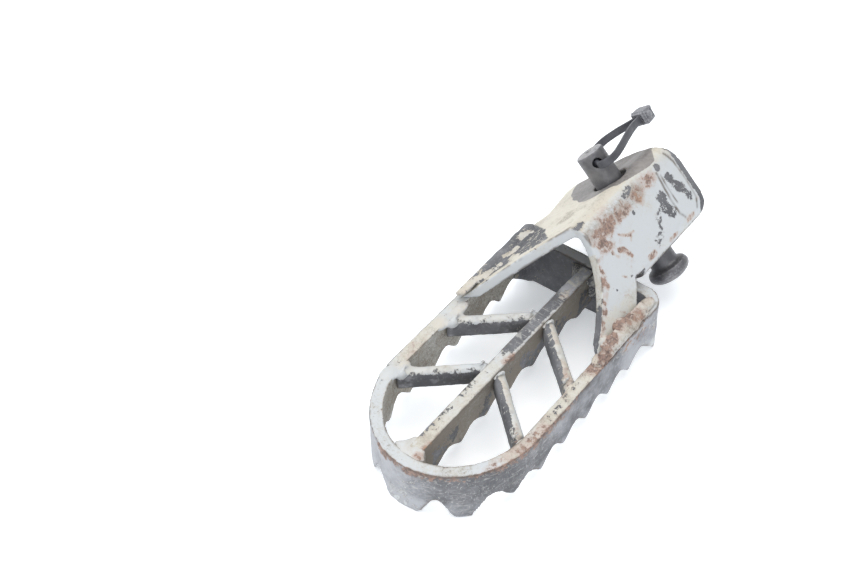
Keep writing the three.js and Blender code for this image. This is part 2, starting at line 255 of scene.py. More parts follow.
class Skin:
    """A mesh's points as arrays, in millimetres of its frame, to shape it and to paint wear on it."""

    def __init__(self, mesh):
        self.mesh = mesh
        self.read()

    def read(self):
        """Takes points, normals and neighbours from the mesh."""
        count = len(self.mesh.vertices)
        flat = np.empty(count * 3, np.float32)
        self.mesh.vertices.foreach_get("co", flat)
        self.points = flat.reshape(-1, 3).astype(float)
        self.mesh.vertex_normals.foreach_get("vector", flat)
        self.normals = flat.reshape(-1, 3).astype(float)
        edges = np.empty(len(self.mesh.edges) * 2, np.int32)
        self.mesh.edges.foreach_get("vertices", edges)
        ends = edges.reshape(-1, 2)
        self.a = np.concatenate([ends[:, 0], ends[:, 1]])
        self.b = np.concatenate([ends[:, 1], ends[:, 0]])
        self.valence = np.maximum(np.bincount(self.a, minlength=count), 1)

    def around(self, values):
        """Each point's neighbours' mean."""
        sums = np.bincount(self.a, weights=values[self.b], minlength=len(values))
        return sums / self.valence

    def spread(self, values, rounds):
        for _ in range(rounds):
            values = (values + self.around(values)) / 2
        return values

    def bend(self, rounds=3):
        """Above 0 on outer edges and below 0 in corners, about -1..1."""
        sharp = 0.035  # how far a sharp edge's points stand out from their neighbours, in mm
        step = np.stack([self.around(self.points[:, k]) for k in range(3)], 1) - self.points
        out = -(step * self.normals).sum(1)
        return np.clip(self.spread(out, rounds) / sharp, -1, 1)

    def push(self, amount):
        """Moves the points along their normals by amounts in millimetres."""
        self.points = self.points + self.normals * np.asarray(amount)[:, None]
        self.write()

    def write(self):
        """Puts the moved points back into the mesh."""
        self.mesh.vertices.foreach_set("co", self.points.astype(np.float32).ravel())
        self.mesh.update()
        self.read()

    def paint(self, **layers):
        """Stores the layers on the mesh, for its material to read."""
        for name, values in layers.items():
            layer = self.mesh.attributes.new(name, "FLOAT", "POINT")
            layer.data.foreach_set("value", np.clip(values, -1, 1).astype(np.float32))


def piece(name, mesh, place, body, material, nodes):
    """A finished piece: its mesh goes from its frame to the model's, and it stands for its CAD nodes."""
    mesh.transform(place)
    mesh.name = name
    mesh.materials.clear()
    mesh.materials.append(material)
    mesh.polygons.foreach_set("use_smooth", [True] * len(mesh.polygons))
    made = in_scene(name, mesh)
    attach(made, body)
    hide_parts(*nodes)
    return made


# ---- materials ------------------------------------------------------------------------------------


class Shade:
    """A node material, built step by step. Places are in the piece's own metres."""

    def __init__(self, name, **fixed):
        self.material = bpy.data.materials.new(name)
        self.material.use_nodes = True
        self.tree = self.material.node_tree
        self.surface = self.tree.nodes["Principled BSDF"]
        for key, value in fixed.items():
            self.surface.inputs[key.replace("_", " ")].default_value = value
        self.place = self.add("ShaderNodeTexCoord").outputs["Object"]

    def add(self, kind, inputs=None, **settings):
        made = self.tree.nodes.new(kind)
        for key, value in settings.items():
            setattr(made, key, value)
        for key, value in (inputs or {}).items():
            if isinstance(value, bpy.types.NodeSocket):
                self.tree.links.new(value, made.inputs[key])
            else:
                made.inputs[key].default_value = value
        return made

    def math(self, operation, *values):
        return self.add("ShaderNodeMath", dict(enumerate(values)), operation=operation).outputs[0]

    def noise(self, scale, detail=3.0, rough=0.55, distortion=0.0, stretch=None, turn=(0, 0, 0)):
        place = self.place
        if stretch:
            place = self.add(
                "ShaderNodeMapping", {"Vector": place, "Scale": stretch, "Rotation": turn}
            ).outputs[0]
        return self.add(
            "ShaderNodeTexNoise",
            {"Vector": place, "Scale": scale, "Detail": detail, "Roughness": rough,
             "Distortion": distortion},
        ).outputs[0]

    def layer(self, name):
        return self.add("ShaderNodeAttribute", attribute_name=name).outputs["Fac"]

    def step(self, value, low, high):
        return self.add(
            "ShaderNodeMapRange",
            {"Value": value, "From Min": low, "From Max": high},
            interpolation_type="SMOOTHSTEP",
        ).outputs[0]

    def level(self, value, low, high):
        return self.add(
            "ShaderNodeMapRange", {"Value": value, "To Min": low, "To Max": high}
        ).outputs[0]

    def mix(self, share, a, b):
        made = self.add("ShaderNodeMix", data_type="RGBA")
        for socket, value in ((made.inputs[0], share), (made.inputs[6], a), (made.inputs[7], b)):
            if isinstance(value, bpy.types.NodeSocket):
                self.tree.links.new(value, socket)
            else:
                socket.default_value = (*value, 1) if isinstance(value, tuple) else value
        return made.outputs[2]

    def tint(self, colour, share, strength, other):
        """The colour with up to that strength of the other over it."""
        return self.mix(self.math("MULTIPLY", share, strength), colour, other)

    def patches(self, layer, *noises):
        """The layer's value plus noise, so that it breaks into patches about where it is 0.5."""
        total = self.layer(layer) if isinstance(layer, str) else layer
        for source, weight in noises:
            total = self.math("MULTIPLY_ADD", source, weight, self.math("ADD", total, -weight / 2))
        return total

    def finish(self, colour, roughness, height, depth, metallic=None):
        link = self.tree.links.new
        link(colour, self.surface.inputs["Base Color"])
        link(roughness, self.surface.inputs["Roughness"])
        if metallic is not None:
            link(metallic, self.surface.inputs["Metallic"])
        bump = self.add("ShaderNodeBump", {"Strength": 1.0, "Distance": depth, "Height": height})
        link(bump.outputs[0], self.surface.inputs["Normal"])
        return self.material


def chipped_paint(name, cool, cream):
    """Old white paint over dark primer, with rust, dirt, painted shade and rubbed steel where the layers say
    so.
    """
    s = Shade(name, IOR=1.5)
    broad = s.noise(95, 3)
    patch = s.noise(620, 6, 0.66, 0.4)
    streak = s.noise(1000, 4, 0.65, 0.3)
    grain = s.noise(2600, 3, 0.6)

    cream_share = s.step(s.patches("cream", (broad, 1.2), (streak, 0.7)), 0.1, 1.0)
    paint = s.mix(cream_share, cool, cream)
    stain = s.step(s.patches("rust", (patch, 1.4), (broad, 0.9)), 0.05, 0.62)
    paint = s.tint(paint, stain, 0.85, (0.440, 0.345, 0.300))
    # A dark brown film over the paint: real dirt, and also painted shade in corners, on side faces and in
    # recesses.
    dirt_and_shade_film = s.step(s.patches("dirt_and_shade", (broad, 0.9), (streak, 0.9), (grain, 0.5)), 0.10, 1.05)
    paint = s.mix(dirt_and_shade_film, paint, (0.240, 0.212, 0.175))
    specks = s.step(s.patches("dirt_and_shade", (grain, 2.2), (patch, 1.2)), 0.52, 0.80)
    paint = s.tint(paint, specks, 0.55, (0.200, 0.175, 0.150))

    loss = s.patches("loss", (patch, 2.6), (grain, 0.9))
    gone = s.step(loss, 0.47, 0.56)
    rim = s.math("SUBTRACT", s.step(loss, 0.34, 0.47), gone)
    paint = s.tint(paint, rim, 0.30, (0.36, 0.30, 0.24))
    primer = s.mix(s.step(broad, 0.35, 0.65), (0.100, 0.103, 0.112), (0.160, 0.163, 0.175))
    primer = s.tint(primer, s.step(streak, 0.5, 0.75), 0.6, (0.25, 0.25, 0.26))
    scratch = s.math(
        "MAXIMUM",
        s.noise(1, 3, 0.6, 0.5, (260, 260, 2400), (0.45, 0.38, 0)),
        s.noise(1, 3, 0.6, 0.5, (2200, 180, 900), (-0.75, 0.7, 0.5)),
    )
    scratched = s.patches("scratch", (broad, 1.6), (patch, 0.8))
    scratch = s.math("MULTIPLY", s.step(scratch, 0.57, 0.68), s.step(scratched, 0.35, 1.0))
    haze = s.step(s.patches("haze", (broad, 0.9), (streak, 0.5)), 0.10, 1.0)
    primer = s.mix(haze, primer, (0.400, 0.410, 0.440))
    primer = s.tint(primer, scratch, 0.62, (0.46, 0.455, 0.44))
    colour = s.mix(gone, paint, primer)

    bare = s.step(s.patches("bare", (patch, 0.5), (grain, 0.3)), 0.44, 0.56)
    steel = s.mix(s.step(streak, 0.35, 0.7), (0.157, 0.147, 0.143), (0.243, 0.228, 0.221))
    steel = s.tint(steel, s.step(broad, 0.45, 0.7), 0.6, (0.33, 0.31, 0.30))
    colour = s.mix(bare, colour, steel)

    rust = s.step(s.patches("rust", (patch, 2.0), (streak, 0.8), (grain, 0.5)), 0.46, 0.74)
    rust_colour = s.mix(s.step(streak, 0.36, 0.62), (0.130, 0.092, 0.080), (0.310, 0.208, 0.168))
    rust_colour = s.mix(s.step(broad, 0.58, 0.74), rust_colour, (0.42, 0.240, 0.140))
    colour = s.tint(colour, rust, 0.92, rust_colour)
    line = s.layer("line")
    colour = s.tint(colour, line, 0.85, (0.13, 0.105, 0.090))

    roughness = s.level(s.math("MAXIMUM", dirt_and_shade_film, s.math("MAXIMUM", rust, gone)), 0.42, 0.72)
    roughness = s.math("MULTIPLY_ADD", streak, 0.16, roughness)
    height = s.math("MULTIPLY_ADD", gone, -0.50, s.math("MULTIPLY", grain, 0.22))
    height = s.math("MULTIPLY_ADD", rust, s.math("MULTIPLY_ADD", streak, 0.5, -0.1), height)
    height = s.math("MULTIPLY_ADD", broad, 0.35, height)
    metallic = s.math("MULTIPLY", bare, 0.3)
    return s.finish(colour, roughness, height, 0.00020, metallic)


def worn_steel(name):
    s = Shade(name, IOR=1.6)
    broad = s.noise(160, 4, 0.6)
    fleck = s.noise(1500, 4, 0.6)
    grain = s.noise(3600, 2)
    colour = s.mix(s.step(broad, 0.35, 0.68), (0.110, 0.110, 0.120), (0.190, 0.186, 0.190))
    brown = s.step(s.patches("rust", (fleck, 1.0), (broad, 0.8)), 0.45, 0.85)
    colour = s.tint(colour, brown, 0.6, (0.20, 0.125, 0.085))
    # Light grey where the edge layer says: rubbed steel on edges, and painted light on the pin's end face and
    # head.
    rubbed_and_lit = s.step(s.patches("edge", (fleck, 0.8)), 0.45, 0.85)
    colour = s.tint(colour, rubbed_and_lit, 0.7, (0.42, 0.42, 0.44))
    roughness = s.level(s.math("MAXIMUM", brown, fleck), 0.30, 0.62)
    height = s.math("MULTIPLY_ADD", fleck, 0.6, s.math("MULTIPLY", grain, 0.4))
    metallic = s.level(brown, 0.55, 0.2)
    return s.finish(colour, roughness, height, 0.00009, metallic)


def moulded_nylon(name):
    s = Shade(name, IOR=1.53)
    broad = s.noise(240, 3)
    rub = s.noise(1, 3, 0.6, 0.2, (500, 500, 2400))
    grain = s.noise(5200, 2)
    colour = s.mix(s.step(broad, 0.3, 0.7), (0.050, 0.052, 0.062), (0.078, 0.080, 0.092))
    dust = s.step(s.patches("edge", (rub, 0.9), (grain, 0.4)), 0.45, 1.0)
    colour = s.tint(colour, dust, 0.7, (0.43, 0.435, 0.465))
    roughness = s.level(s.math("MAXIMUM", dust, rub), 0.34, 0.62)
    height = s.math("MULTIPLY_ADD", rub, 0.6, s.math("MULTIPLY", grain, 0.3))
    return s.finish(colour, roughness, height, 0.00006)


PAINT = chipped_paint("chipped_white_paint", (0.505, 0.530, 0.553), (0.545, 0.512, 0.440))
WELD_PAINT = chipped_paint("painted_weld", (0.520, 0.538, 0.550), (0.535, 0.490, 0.420))
STEEL = worn_steel("dark_steel")
NYLON = moulded_nylon("dark_nylon")

# ---- the tread ------------------------------------------------------------------------------------


def outward(points):
    """The level direction out of the tread's outline, at points near its strip."""
    x, y = points[:, 0], points[:, 1]
    corner_x, corner_y = REAR_X - REAR_CORNER, HALF_WIDTH - REAR_CORNER
    nose = np.stack([x / NOSE_LENGTH**2, y / HALF_WIDTH**2], 1)
    sides = np.stack([np.zeros(len(x)), np.sign(y)], 1)
    rear = np.stack([np.maximum(x - corner_x, 0), np.sign(y) * np.maximum(abs(y) - corner_y, 0)], 1)
    out = np.where((x < 0)[:, None], nose, np.where((x < corner_x)[:, None], sides, rear))
    return out / np.maximum(np.linalg.norm(out, axis=1), 1e-9)[:, None]


def tread_wear(skin):
    """The layers that every piece of the tread starts from."""
    p, n, bend = skin.points, skin.normals, skin.bend()
    edge = np.clip(bend, 0, 1)
    corner = skin.spread(np.clip(-bend, 0, 1), 6)
    top = smoothstep(n[:, 2], 0.5, 0.85)
    drift = clouds(p, 14, 3)
    tan = near(p, [(2, 23), (16, 23)], 4) + near(p, [(-8, -23), (6, -24), (30, -23)], 4)
    under = smoothstep(-n[:, 2], 0.3, 0.8)
    return {
        "loss": -0.14 + 0.13 * edge + 0.22 * drift + 0.35 * under,
        "rust": -0.06 + 0.34 * edge * drift + 0.14 * corner,
        "cream": 0.15 + 0.42 * drift * top + 0.40 * tan * top,
        # Darker in corners and on faces that do not look up: painted shade.
        "dirt_and_shade": 0.02 + 0.35 * corner + 0.12 * (1 - top),
        "bare": np.zeros(len(p)),
        "haze": np.zeros(len(p)),
        "scratch": np.zeros(len(p)),
        "line": 0.75 * smoothstep(edge, 0.25, 0.8) * smoothstep(clouds(p, 3, 5), 0.42, 0.62),
    }


def loop_wear(skin):
    p, n = skin.points, skin.normals
    x, y, z = p.T
    w = tread_wear(skin)
    out = (outward(p) * n[:, :2]).sum(1)
    outer, inner = smoothstep(out, 0.3, 0.7), smoothstep(-out, 0.3, 0.7)
    top = smoothstep(n[:, 2], 0.5, 0.85)
    edge = np.clip(skin.bend(), 0, 1)
    nose = 1 - smoothstep(x, -6, 22)
    right = smoothstep(-y, 2, 10)
    rear = smoothstep(x, 50, 60)
    tips = smoothstep(-z, 11.5, 15.5)
    pale_nose = nose * (1 - smoothstep(-y, -4, 14))
    speckle = clouds(p, 3.2, 9)

    # The outer face has lost nearly all its paint, but some is left on the nose and the right rear.
    w["loss"] += outer * 1.05
    w["loss"] -= outer * 0.62 * pale_nose * smoothstep(clouds(p, 4, 25), 0.52, 0.70)
    w["loss"] -= outer * right * 0.75 * smoothstep(x, 30, 48) * smoothstep(clouds(p, 5, 15), 0.42, 0.62)
    w["loss"] -= 0.45 * tips * outer * smoothstep(clouds(p, 6, 10), 0.4, 0.6)
    w["haze"] = outer * (0.18 + 0.72 * pale_nose + 0.22 * right * smoothstep(x, -4, 12))
    w["haze"] *= 0.80 + 0.40 * clouds(p, 3, 19)
    w["haze"] += outer * 0.30 * right * smoothstep(x, 38, 46)
    w["haze"] += outer * (0.35 * smoothstep(-z, 10, 15) + 0.35 * (clouds(p, 9, 8) - 0.5))
    w["scratch"] = outer * (0.35 + 0.65 * nose)
    w["dirt_and_shade"] += outer * (0.26 + 0.14 * nose) - 0.30 * tips
    w["rust"] += outer * 0.30 * pale_nose * smoothstep(clouds(p, 5, 24), 0.45, 0.70)
    w["rust"] += outer * 0.42 * near(p, [(44, -25, -3), (54, -25, -5), (58, -24, -8)], 2.6)
    w["rust"] += outer * right * 0.05 * smoothstep(x, 20, 40)

    # The inner face is dirty and carries painted shade inside the loop, and it is dark at the rear.
    w["loss"] += inner * (0.16 + 0.75 * rear)
    w["dirt_and_shade"] += inner * (0.46 + 0.30 * rear)
    w["cream"] += inner * 0.5

    # The rim's top is cream and tan, with rust along its right side.
    w["dirt_and_shade"] += top * 0.38 * near(p, [(-6, 23), (14, 23)], 2.5) * clouds(p, 4, 4)
    w["dirt_and_shade"] += top * 0.30 * near(p, [(-29, 4), (-25, 13), (-17, 20)], 3) * clouds(p, 5, 26)
    w["dirt_and_shade"] += top * (0.12 + right * (0.10 + 0.20 * smoothstep(clouds(p, 3, 23), 0.45, 0.70)))
    w["rust"] += top * 0.55 * near(p, [(2, 22.8), (12, 22.6)], 1.6) * clouds(p, 3, 6)
    w["rust"] += top * 0.16 * right * smoothstep(x, -10, 5)
    w["rust"] += top * marks(p, [
        (0.48, [(-16, -20), (-4, -23.5), (3, -24)], 2.4),
        (0.62, [(29, -22.5), (34, -23.5)], 2.2),
    ])
    w["loss"] += top * marks(p, [
        (0.36, [(6, -23), (12, -22.6), (24, -22)], 0.9, 0.8),
        (0.30, [(-8, 22), (-2, 25)], 1.2),
    ])

    # Rust follows the outer corner of the rim round the nose and down the right side.
    rim_corner = smoothstep(-z, -0.6, 0.2) * (1 - smoothstep(-z, 1.2, 4.2)) * smoothstep(out, 0.02, 0.4)
    rust_line = near(p, [(-29, 4), (-29, -4), (-25, -14), (-14, -22), (0, -25), (12, -25)], 5, 0.8)
    w["rust"] += rim_corner * (0.24 + 0.44 * rust_line) * (0.6 + 0.8 * speckle)
    w["loss"] += 0.10 * rim_corner * (1 - rust_line) * edge
    return w


def tread_loop():
    skin = Skin(worn_round(cad_mesh(["tread_loop"], TREAD), grid=0.42, rounds=5))
    p = skin.points
    skin.push(0.32 * (clouds(p, 11, 1) - 0.5) + 0.16 * (clouds(p, 2.6, 2) - 0.5))
    skin.paint(**loop_wear(skin))
    piece("tread_loop", skin.mesh, TREAD, "peg", PAINT, ["tread_loop"])


def rib_wear(skin):
    p, n = skin.points, skin.normals
    x, y, z = p.T
    w = tread_wear(skin)
    top = smoothstep(n[:, 2], 0.5, 0.85)
    sides = 1 - top
    front = 1 - smoothstep(x, -19, -15)  # under the weld at the nose
    rear = smoothstep(x, 14, 24) * (1 - smoothstep(x, 45, 49))
    end = smoothstep(x, 46, 50)
    left_edge = smoothstep(y, -0.6, 1.6)
    kept_edge = (1 - smoothstep(y, -1.7, -1.0)) * (1 - smoothstep(x, 42, 46))

    # The rear half of the top is worn down to the primer, but for a strip along its right edge.
    w["loss"] += top * 1.10 * rear * (0.80 + 0.20 * left_edge) * (1 - 0.8 * kept_edge)
    w["loss"] += top * 0.60 * left_edge * (1 - rear) * smoothstep(clouds(p, 3, 16), 0.40, 0.70)
    w["loss"] += top * (0.55 * end - 0.2 * front)
    w["haze"] = top * (0.10 * rear + 0.95 * end) + 0.35 * sides * clouds(p, 5, 18)
    w["scratch"] = top * rear
    w["line"] *= 1 - front
    w["cream"] += 0.30 * top * (1 - rear) + 0.30 * sides
    w["dirt_and_shade"] += top * (0.30 * rear + 0.25 * (1 - rear))

    # Its sides are darkened, more so lower down and at the nose: dirt, and painted shade on faces that do not
    # look up.
    w["dirt_and_shade"] += sides * (0.74 + 0.55 * smoothstep(-z, 2, 9) * clouds(p, 7, 13))
    w["dirt_and_shade"] += 0.35 * sides * (1 - smoothstep(x, -10, 2))
    w["loss"] += sides * 0.70 * smoothstep(-z, 1, 7) * smoothstep(clouds(p, 6, 17), 0.38, 0.62)
    w["rust"] += 0.30 * top * rear * clouds(p, 6, 14) + marks(p, [
        (0.60, [(17, -1.5, 0), (20, -2, -0.5)], 1.5),
        (0.50, [(-23.5, -2.2, 0), (-19, -2.2, -0.5)], 1.3),
        (0.35, [(46, 0, 0), (52, -1, 0)], 1.8),
    ])
    return w


def centre_rib():
    skin = Skin(worn_round(cad_mesh(["centre_rib"], TREAD), grid=0.40, rounds=4))
    p = skin.points
    skin.push(0.26 * (clouds(p, 9, 11) - 0.5) + 0.16 * (clouds(p, 2.2, 12) - 0.5))
    skin.paint(**rib_wear(skin))
    piece("centre_rib", skin.mesh, TREAD, "peg", PAINT, ["centre_rib"])


BRACE_RUN = (16.5, 18.4)  # along a brace, towards the rear and the middle, before it is mirrored


def brace_wear(skin, seed):
    p, n = skin.points, skin.normals
    w = tread_wear(skin)
    on_right = p[:, 1].mean() < 0
    top = smoothstep(n[:, 2], 0.25, 0.7)
    faces = 1 - top
    stained = np.zeros(len(p))
    # Each brace has lost its paint along the edge that looks back towards the nose.
    chipped = smoothstep(-n[:, 0], -0.1, 0.5) * (1 - top * 0.6)
    if on_right:
        # A ragged line along the middle parts primer from paint, with a rust stain beside it.
        run = np.array(BRACE_RUN) / np.linalg.norm(BRACE_RUN)
        across = (p[:, 0] - p[:, 0].mean()) * run[1] - (p[:, 1] - p[:, 1].mean()) * run[0]
        across += 1.2 * (clouds(p, 2.4, seed + 5) - 0.5)
        chipped = np.where(across > 0, 0, np.maximum(chipped, smoothstep(-across, 0.0, 0.6)))
        chipped *= 1 - 0.45 * smoothstep(abs(p[:, 1]), 15, 18)
        faces = faces * (across < 0.8)
        stained = smoothstep(across, -0.9, 0.2) * (1 - smoothstep(across, 0.5, 1.5))
    outer_end = smoothstep(abs(p[:, 1]), 13, 18)
    # Side faces are darkened with primer and the dark film: painted shade, as well as dirt.
    w["loss"] += 0.85 * chipped * (0.75 + 0.5 * clouds(p, 4, seed + 2)) + 0.20 * faces
    w["haze"] += 0.55 * chipped * smoothstep(clouds(p, 3.5, seed + 6), 0.45, 0.75)
    w["scratch"] += 0.35 * chipped
    w["dirt_and_shade"] += 0.45 * faces + (0.10 if on_right else 0)
    w["cream"] += 0.30 * top * (1 if on_right else 0.4)
    w["rust"] += 0.34 * stained * clouds(p, 2.5, seed + 7)
    w["rust"] += (0.38 if on_right else 0.12) * outer_end * top * clouds(p, 3, seed + 3)
    return w


def brace(name, seed):
    skin = Skin(worn_round(cad_mesh([name], TREAD), grid=0.34, rounds=4, grow=0.12))
    p = skin.points
    skin.push(0.30 * (clouds(p, 5, seed) - 0.5) + 0.10 * (clouds(p, 1.6, seed + 1) - 0.5))
    skin.paint(**brace_wear(skin, seed))
    piece(name, skin.mesh, TREAD, "peg", PAINT, [name])


# ---- welds ----------------------------------------------------------------------------------------


def weld(name, balls, extra=None, seed=0, shrink=(1, 1, 1), about=None, rough=0.42):
    """A bead: the CAD's own shape, shrunk about a point, with lumps of metal run over its neighbours."""
    grid = 0.34
    core = cad_mesh([name], TREAD)
    low, high = (np.array([f(v.co[k] for v in core.vertices) for k in range(3)]) for f in (min, max))
    middle = Vector(about or ((low[0] + high[0]) / 2, (low[1] + high[1]) / 2, high[2]))
    core.transform(
        Matrix.Translation(middle) @ Matrix.Diagonal((*shrink, 1)) @ Matrix.Translation(-middle)
    )
    core = worn_round(core, grid, rounds=1, grow=0.30)
    skin = Skin(worn_round(joined([core, *(ball(c, r) for c, r in balls)]), grid, rounds=6))
    p = skin.points
    skin.push(rough * (clouds(p, 3.2, seed + 20, 2) - 0.5) + 0.14 * (cloud(p, 1.2, seed + 21) - 0.5))
    w = tread_wear(skin)
    w["dirt_and_shade"] *= 0.6
    w["line"] *= 0.2
    w["loss"] = w["loss"] * 0.8 + 0.12 * (clouds(skin.points, 2.2, seed + 22) > 0.72)
    for layer, amount in (extra(skin) if extra else {}).items():
        w[layer] = w[layer] + amount
    skin.paint(**w)
    piece(name, skin.mesh, TREAD, "peg", WELD_PAINT, [name])


def left_puddle(tread_x, rear):
    """A generous puddle on the rim, tapering off along the top of the brace."""
    puddle = [
        ((tread_x - 1.8, 22.4, -0.7), (4.2, 2.5, 1.15)),
        ((tread_x + 2.4, 21.2, -0.9), (3.2, 2.2, 1.15)),
    ]
    for share, size in ((0.05, 2.5), (0.12, 2.1), (0.19, 1.7), (0.26, 1.3)):
        x, y = tread_x + BRACE_RUN[0] * share, 20.8 - BRACE_RUN[1] * share
        puddle.append(((x + 0.5, y, -0.95), (size, size * 0.8, 0.38 * size)))
    if rear:
        puddle.append(((tread_x + 5.4, 20.9, -0.2), (3.4, 1.7, 0.9)))
    return puddle


def brace_welds():
    for index, (where, tread_x, rib_x) in enumerate((("front", -3.8, 12.7), ("rear", 20.5, 37.0))):
        for side, side_name in ((1, "left"), (-1, "right")):
            seed = 40 + 10 * index
            if side > 0:
                puddle, tread_size, rib_size = (
                    left_puddle(tread_x, where == "rear"), (0.56, 0.62, 0.40), (0.46, 0.36, 0.36)
                )
            else:
                seed += 5
                puddle = [((tread_x - 0.2, -21.4, -0.75), (2.6, 1.2, 0.75))]
                tread_size, rib_size = (0.28, 0.36, 0.18), (0.50, 0.50, 0.34)
            weld(f"weld_{where}_brace_tread_{side_name}", puddle, seed=seed, shrink=tread_size)
            run = [((rib_x - 0.8, side * 2.5, -0.75), (2.1, 0.9, 0.45))]
            weld(f"weld_{where}_brace_rib_{side_name}", run, seed=seed + 2, shrink=rib_size)


def end_welds():
    def spot(skin):
        # Side faces, most of all on the right, get rust and the dark film: dirt, and painted shade.
        sides = 1 - smoothstep(skin.normals[:, 2], 0.3, 0.7)
        dirty = sides * (0.55 if skin.points[:, 1].mean() < 0 else 0.15)
        return {"rust": 0.55 * near(skin.points, [(-24, -2, 0)], 1.6) + 0.3 * dirty, "dirt_and_shade": dirty}

    def dark(skin):
        return {"loss": 0.45 + 0.4 * (clouds(skin.points, 4, 66) - 0.5), "dirt_and_shade": 0.5}

    # The nose is filled well on the left; on the right the rib runs nearly to the rim.
    corner_x = -25.4  # where the rib meets the rim
    for side, side_name in ((1, "left"), (-1, "right")):
        size = 1.0 if side > 0 else 0.60
        nose = [
            ((corner_x + 1.6 * size, side * 2.4 * size, -0.72), (2.8 * size, 3.4 * size, 0.80)),
            ((corner_x + 4.8 * size, side * 1.4, -0.72), (3.2 * size, 1.3, 0.80)),
            ((corner_x + 2.0, 0.0, -0.66), (3.2, 1.9, 0.74)),
        ]
        weld(
            f"weld_nose_{side_name}", nose, extra=spot, seed=60 + side,
            shrink=(size, size, 1), about=(corner_x, side * 1.9, -0.1), rough=0.20,
        )
        rear = [((60.8, side * 2.4, -1.6), (1.5, 1.8, 1.2)), ((58.8, side * 1.9, -1.7), (2.0, 0.8, 1.1))]
        weld(f"weld_rear_{side_name}", rear, extra=dark, seed=64 + side, shrink=(0.9, 0.9, 0.9))


def arm_welds():
    random = np.random.default_rng(7)

    def run(side, x0, x1, pitch, size, out, high):
        """Uneven lumps one after another along the foot of an arm."""
        balls = []
        for x in np.arange(x0, x1, pitch):
            a, b, c, d, e = random.uniform(-1, 1, 5)
            centre = (x + 0.3 * a, side * (out + 0.6 * b), high + 0.5 * c)
            balls.append((centre, (size * (1.0 + 0.2 * d), size * (0.85 + 0.2 * e), size * 0.72)))
        return balls

    def dirty(skin):
        p = skin.points
        rusty = marks(p, [
            (1, [(34, -23.5)], 2.2), (1, [(40, -22)], 1.6), (1, [(44.5, -21)], 1.8),
            (1, [(48, -22), (52, -23)], 1.8), (1, [(36.8, -22.8), (39.5, -22.4)], 1.5),
        ])
        return {
            "rust": 0.20 + 0.62 * np.clip(rusty, 0, 1) + 0.45 * (clouds(p, 5, 70) - 0.5),
            "loss": 0.12 + 0.45 * near(p, [(33.0, -24.0)], 2.2) + 0.3 * (clouds(p, 3, 73) - 0.5),
            "cream": 0.30,
            "dirt_and_shade": 0.10 + 0.42 * clouds(p, 4, 71),
        }

    def back(skin):
        p = skin.points
        kept = marks(p, [
            (0.6, [(38, 20.6), (43, 19.4)], 1.2), (0.6, [(57, 21.6), (60, 20.4)], 1.2),
            (0.6, [(31, 22.8), (36, 21.8)], 0.9), (0.6, [(48, 20.4), (52, 19.4)], 1.0),
        ])
        worn = 0.20 + 0.66 * smoothstep(p[:, 0], 30, 44) + 0.5 * (clouds(p, 4, 72) - 0.5)
        return {"loss": worn - kept, "dirt_and_shade": 0.2, "cream": 0.4, "haze": 0.25 * clouds(p, 4, 74)}

    # The left bead is spread flat over the foot of the arm.
    flat = run(1, 30.5, 36, 1.9, 1.1, 22.6, 0.5) + run(1, 36, 63.5, 1.9, 1.7, 22.2, 0.9)
    flat += [((x, 20.4, 2.45), (1.9, 1.7, 1.1)) for x in np.arange(36.5, 63.5, 1.7)]
    flat += [((x, 18.9, 4.05), (1.9, 1.5, 0.8)) for x in np.arange(42.5, 61.5, 1.7)]
    weld("weld_arm_left", flat, extra=back, seed=80, shrink=(1, 0.8, 0.6))
    lumps = run(-1, 34.5, 57.5, 2.1, 2.0, 22.4, 1.3)
    lumps += [
        ((33.4, -22.6, 0.3), (3.6, 2.3, 1.3)), ((58.5, -22.0, 0.5), (3.4, 2.0, 1.4)),
        ((38.5, -20.6, 1.4), (2.6, 2.2, 2.2)), ((46.0, -20.4, 2.0), (2.8, 1.8, 2.0)),
        ((42.0, -22.8, 1.0), (1.5, 1.5, 2.0)), ((51.5, -21.8, 1.2), (2.0, 1.6, 2.2)),
    ]
    weld("weld_arm_right", lumps, extra=dirty, seed=90, shrink=(1, 0.9, 0.85), rough=0.9)


# ---- the bracket ----------------------------------------------------------------------------------

# Places on the web are (x, distance down it). Marks are (weight, run of places, radius, softness).
SEAMS = [
    [(90.4, 6), (89.8, 11), (89.3, 16), (89.2, 20), (90.4, 22.2)],
    [(91.3, 7.4), (91.0, 12), (90.9, 17)],
    [(97.4, 3.4), (98.7, 7), (99.0, 14), (98.5, 20), (96.6, 22.8)],
]
WEB_RUST = [
    (0.70, [(57.2, 10.3), (59.6, 11.6)], 2.0),
    (0.36, [(69.0, 7.2), (73.6, 7.2)], 1.5),
    (0.20, [(58.5, 9), (63, 8.2)], 1.2),
    (0.36, [(78.0, 6), (79.5, 9.2)], 1.2),
    (0.42, [(85.6, 6.4), (86.6, 5.4)], 1.2),
    (0.62, [(61.8, 14.2), (63.4, 15), (64.6, 18)], 0.8),
    (0.58, [(65, 11), (67.5, 13), (70.3, 13.4)], 0.5),
    (0.58, [(67.5, 14.8), (68.5, 13.8)], 0.5),
    (0.52, [(50.2, 16.8), (50.9, 19.2)], 0.8),
    (0.55, [(43.2, 22.4), (44.6, 24.2)], 0.7),
    (0.60, [(57.2, 20.3), (58.4, 21.6)], 0.4),
    (0.60, [(49.2, 27.2), (50.4, 28.4)], 0.5),
    (0.48, [(59.0, 13.6), (60.2, 15.8)], 0.5),
    (0.45, [(54.0, 25.0), (55.2, 25.6)], 0.4),
    (0.66, [(70, 22.8), (72.5, 23.2)], 1.1),
    (0.55, [(81, 24), (84, 24)], 0.9),
    (0.55, [(91, 23.6), (94, 23.6)], 0.9),
]
